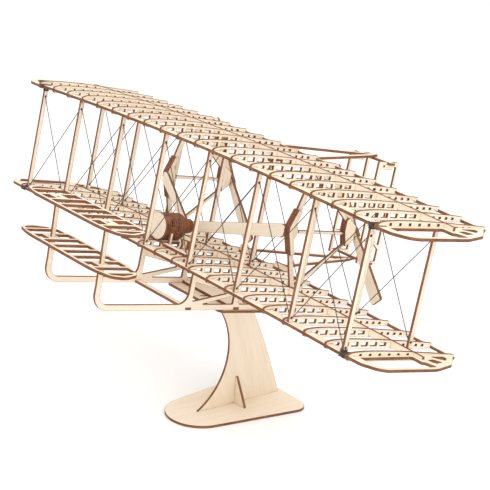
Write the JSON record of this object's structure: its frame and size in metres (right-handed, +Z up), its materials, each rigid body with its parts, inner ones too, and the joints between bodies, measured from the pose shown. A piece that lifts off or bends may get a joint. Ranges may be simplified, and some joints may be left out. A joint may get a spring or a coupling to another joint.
{
  "type": "biplane scale model",
  "caption": "Laser-cut plywood biplane model with slatted foreplanes, thread-braced wings, twin pusher propellers and twin rudders, resting nose-up on a small pedestal stand.",
  "frame": {"origin": "centre of the stand base's underside", "axes": "+X towards the aircraft's port wing tip, +Y aft, +Z up; the aircraft is pitched nose-up by 10.2 degrees about X"},
  "size_m": [0.3442, 0.2233, 0.1659],
  "materials": {
    "plywood": "bare laser-cut birch plywood, brown burnt edges",
    "engine_plywood": "stacked plywood discs, burnt edges",
    "shaft_wood": "bare square stick with turned ends",
    "thread": "dark bracing thread"
  },
  "bodies": {
    "stand": {"stand_base": "plywood", "stand_upright": "plywood", "stand_gussets": "plywood", "stand_saddle": "plywood"},
    "aircraft": {"boom_roots": "plywood", "chain_guide_port": "plywood", "chain_guide_starboard": "plywood", "cradle_blocks": "plywood", "curved_lever": "plywood", "engine_bed": "plywood", "engine_discs": "engine_plywood", "engine_rear_cover": "engine_plywood", "front_cross_bar": "plywood", "front_struts": "plywood", "front_threads": "thread", "lower_boom_port": "plywood", "lower_boom_starboard": "plywood", "lower_canard": "plywood", "lower_front_spar": "plywood", "lower_rear_spar": "plywood", "lower_ribs": "plywood", "lower_tail_strip": "plywood", "lower_tip_port": "plywood", "lower_tip_starboard": "plywood", "lower_trailing_strip": "plywood", "pilot_board": "plywood", "prop_block_cheeks_port": "plywood", "prop_block_cheeks_starboard": "plywood", "prop_frame_cheeks_port": "plywood", "prop_frame_cheeks_starboard": "plywood", "prop_frame_port": "plywood", "prop_frame_starboard": "plywood", "rear_cross_bar": "plywood", "rear_struts": "plywood", "rear_threads": "thread", "rudder_port": "plywood", "rudder_starboard": "plywood", "skid_frame_port": "plywood", "skid_frame_starboard": "plywood", "straight_lever": "plywood", "thread_wraps": "thread", "upper_boom_port": "plywood", "upper_boom_starboard": "plywood", "upper_canard": "plywood", "upper_front_spar": "plywood", "upper_rear_spar": "plywood", "upper_ribs": "plywood", "upper_tail_strip": "plywood", "upper_tip_port": "plywood", "upper_tip_starboard": "plywood", "upper_trailing_strip": "plywood"},
    "propeller_port": {"prop_shaft_port": "shaft_wood", "propeller_hub_port": "plywood", "propeller_blades_port": "plywood"},
    "propeller_starboard": {"prop_shaft_starboard": "shaft_wood", "propeller_hub_starboard": "plywood", "propeller_blades_starboard": "plywood"}
  },
  "joints": [
    {"name": "lift_off", "type": "slide", "parent": "stand", "child": "aircraft", "axis": [0, 0.1771, 0.9842], "range_m": [0, 0.02]},
    {"name": "propeller_port_spin", "type": "hinge", "parent": "aircraft", "child": "propeller_port", "pos_m": [0.056, 0.03596, 0.11702], "axis": [0, 0.9842, -0.1771], "continuous": true},
    {"name": "propeller_starboard_spin", "type": "hinge", "parent": "aircraft", "child": "propeller_starboard", "pos_m": [-0.056, 0.03596, 0.11702], "axis": [0, 0.9842, -0.1771], "continuous": true}
  ]
}
